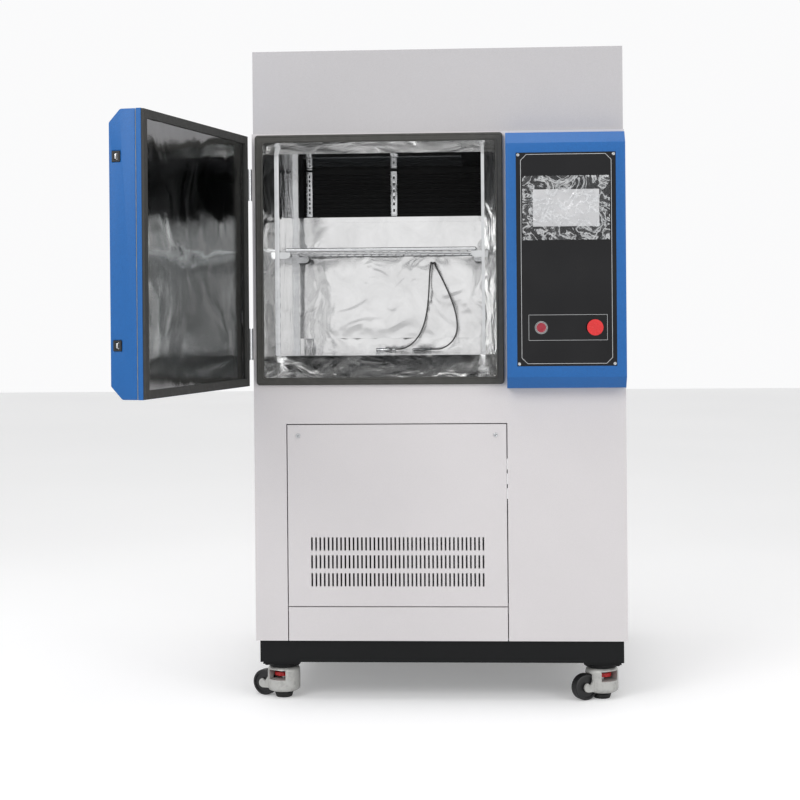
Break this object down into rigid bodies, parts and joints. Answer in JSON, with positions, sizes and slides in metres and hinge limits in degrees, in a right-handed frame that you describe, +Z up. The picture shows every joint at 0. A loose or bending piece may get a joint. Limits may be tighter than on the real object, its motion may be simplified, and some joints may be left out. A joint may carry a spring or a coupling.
{
  "type": "environmental test chamber",
  "caption": "Floor-standing environmental test chamber with an open hinged door, stainless test space, wire shelf, side control panel and levelling casters.",
  "frame": {"origin": "on the floor under the middle of the cabinet", "axes": "+X to the right as the front is seen, +Y to the back, +Z up"},
  "size_m": [1.1224, 1.5331, 1.58],
  "materials": {
    "white_paint": "satin powder coat, warm white",
    "hood_paint": "fine speckled grey powder coat",
    "blue_paint": "textured bright blue powder coat",
    "black_paint": "satin black",
    "zinc_steel": "zinc plated",
    "bright_stainless": "bright polished stainless sheet",
    "polished_wire": "polished stainless wire",
    "seal_rubber": "matt dark grey silicone",
    "foam": "hidden foam insulation",
    "black_gloss": "gloss black",
    "black_plastic": "matt black",
    "filter_glass": "dark filter glass",
    "motor_paint": "satin grey blue",
    "fan_aluminium": "plain aluminium",
    "tank_plastic": "translucent white",
    "power_red": "crimson",
    "stop_red": "bright red",
    "lead_jacket": "dark flexible jacket",
    "caster_casting": "die cast, painted light grey",
    "caster_wheel": "black nylon",
    "caster_pad": "black rubber",
    "thumbwheel": "red"
  },
  "bodies": {
    "cabinet": {"lower_front_frame": "white_paint", "access_panel": "white_paint", "kick_strip": "white_paint", "side_panels": "white_paint", "rear_panels": "white_paint", "upper_front_frame": "white_paint", "hood_shell": "hood_paint", "control_bezel": "blue_paint", "base_frame": "black_paint", "compressor": "black_paint", "outlet_grille": "black_paint", "decks": "zinc_steel", "access_panel_screws": "zinc_steel", "hinge_frame_leaves": "zinc_steel", "lamp_unit": "zinc_steel", "inner_liner": "bright_stainless", "throat_frame": "bright_stainless", "duct_plate": "bright_stainless", "shelf_supports": "bright_stainless", "sensor_probes": "polished_wire", "button_collars": "polished_wire", "heater_coil": "polished_wire", "frame_gasket": "seal_rubber", "chamber_insulation": "foam", "control_plate": "black_gloss", "touch_screen": "black_gloss", "electrics_rack": "black_plastic", "cable_glands": "black_plastic", "filter_glass": "filter_glass", "blower_motor": "motor_paint", "condenser": "fan_aluminium", "water_tank": "tank_plastic", "sensor_lead_left": "lead_jacket", "sensor_lead_right": "lead_jacket"},
    "door": {"door_shell": "blue_paint", "door_inner_pan": "blue_paint", "door_liner": "bright_stainless", "door_gasket": "seal_rubber", "door_insulation": "foam", "hinge_door_leaves": "zinc_steel", "latch_cases": "black_plastic"},
    "door_handle": {"door_handle": "black_plastic"},
    "latch_hooks": {"latch_rod": "polished_wire"},
    "wire_shelf": {"wire_shelf": "polished_wire"},
    "power_button": {"power_button_cap": "power_red"},
    "emergency_stop": {"estop_head": "stop_red"},
    "blower_wheel": {"blower_wheel": "fan_aluminium"},
    "condenser_fan": {"condenser_fan": "black_plastic"},
    "caster_front_left": {"caster_housing_front_left": "caster_casting"},
    "wheel_front_left": {"caster_wheel_front_left": "caster_wheel"},
    "foot_front_left": {"caster_foot_front_left": "caster_pad"},
    "caster_front_right": {"caster_housing_front_right": "caster_casting"},
    "wheel_front_right": {"caster_wheel_front_right": "caster_wheel"},
    "foot_front_right": {"caster_foot_front_right": "caster_pad"},
    "caster_rear_left": {"caster_housing_rear_left": "caster_casting"},
    "wheel_rear_left": {"caster_wheel_rear_left": "caster_wheel"},
    "foot_rear_left": {"caster_foot_rear_left": "caster_pad"},
    "caster_rear_right": {"caster_housing_rear_right": "caster_casting"},
    "wheel_rear_right": {"caster_wheel_rear_right": "caster_wheel"},
    "foot_rear_right": {"caster_foot_rear_right": "caster_pad"}
  },
  "joints": [
    {"name": "door_hinge", "type": "hinge", "parent": "cabinet", "child": "door", "pos_m": [-0.4556, -0.458, 1.06], "axis": [0, 0, -1], "range_deg": [-102, 68]},
    {"name": "handle_turn", "type": "hinge", "parent": "door", "child": "door_handle", "pos_m": [-0.63799, -0.93613, 1.07], "axis": [-0.9781, 0.2079, 0], "range_deg": [0, 40]},
    {"name": "latch_turn", "type": "hinge", "parent": "door", "child": "latch_hooks", "pos_m": [-0.64397, -1.04118, 1.07], "axis": [0, 0, 1], "range_deg": [-12, 0]},
    {"name": "shelf_slide", "type": "slide", "parent": "cabinet", "child": "wire_shelf", "axis": [0, -1, 0], "range_m": [0, 0.3]},
    {"name": "power_press", "type": "slide", "parent": "cabinet", "child": "power_button", "axis": [0, 1, 0], "range_m": [0, 0.002], "stiffness_N_per_m": 600},
    {"name": "stop_press", "type": "slide", "parent": "cabinet", "child": "emergency_stop", "axis": [0, 1, 0], "range_m": [0, 0.005]},
    {"name": "blower_spin", "type": "hinge", "parent": "cabinet", "child": "blower_wheel", "pos_m": [-0.146, 0.2, 1.018], "axis": [0, 1, 0], "continuous": true},
    {"name": "condenser_fan_spin", "type": "hinge", "parent": "cabinet", "child": "condenser_fan", "pos_m": [0, 0.36, 0.281], "axis": [0, 1, 0], "continuous": true},
    {"name": "swivel_front_left", "type": "hinge", "parent": "cabinet", "child": "caster_front_left", "pos_m": [-0.39, -0.39, 0.08], "axis": [0, 0, 1], "continuous": true},
    {"name": "roll_front_left", "type": "hinge", "parent": "caster_front_left", "child": "wheel_front_left", "pos_m": [-0.43636, -0.37127, 0.0315], "axis": [0.3746, 0.9272, 0], "continuous": true},
    {"name": "level_front_left", "type": "slide", "parent": "caster_front_left", "child": "foot_front_left", "axis": [0, 0, -1], "range_m": [0, 0.006]},
    {"name": "swivel_front_right", "type": "hinge", "parent": "cabinet", "child": "caster_front_right", "pos_m": [0.39, -0.39, 0.08], "axis": [0, 0, 1], "continuous": true},
    {"name": "roll_front_right", "type": "hinge", "parent": "caster_front_right", "child": "wheel_front_right", "pos_m": [0.3467, -0.415, 0.0315], "axis": [-0.5, 0.866, 0], "continuous": true},
    {"name": "level_front_right", "type": "slide", "parent": "caster_front_right", "child": "foot_front_right", "axis": [0, 0, -1], "range_m": [0, 0.006]},
    {"name": "swivel_rear_left", "type": "hinge", "parent": "cabinet", "child": "caster_rear_left", "pos_m": [-0.39, 0.39, 0.08], "axis": [0, 0, 1], "continuous": true},
    {"name": "roll_rear_left", "type": "hinge", "parent": "caster_rear_left", "child": "wheel_rear_left", "pos_m": [-0.40294, 0.4383, 0.0315], "axis": [0.9659, 0.2588, 0], "continuous": true},
    {"name": "level_rear_left", "type": "slide", "parent": "caster_rear_left", "child": "foot_rear_left", "axis": [0, 0, -1], "range_m": [0, 0.006]},
    {"name": "swivel_rear_right", "type": "hinge", "parent": "cabinet", "child": "caster_rear_right", "pos_m": [0.39, 0.39, 0.08], "axis": [0, 0, 1], "continuous": true},
    {"name": "roll_rear_right", "type": "hinge", "parent": "caster_rear_right", "child": "wheel_rear_right", "pos_m": [0.4071, 0.43698, 0.0315], "axis": [0.9397, -0.342, 0], "continuous": true},
    {"name": "level_rear_right", "type": "slide", "parent": "caster_rear_right", "child": "foot_rear_right", "axis": [0, 0, -1], "range_m": [0, 0.006]}
  ],
  "couplings": [
    {"joint": "latch_turn", "follows": "handle_turn", "ratio": -0.3}
  ]
}
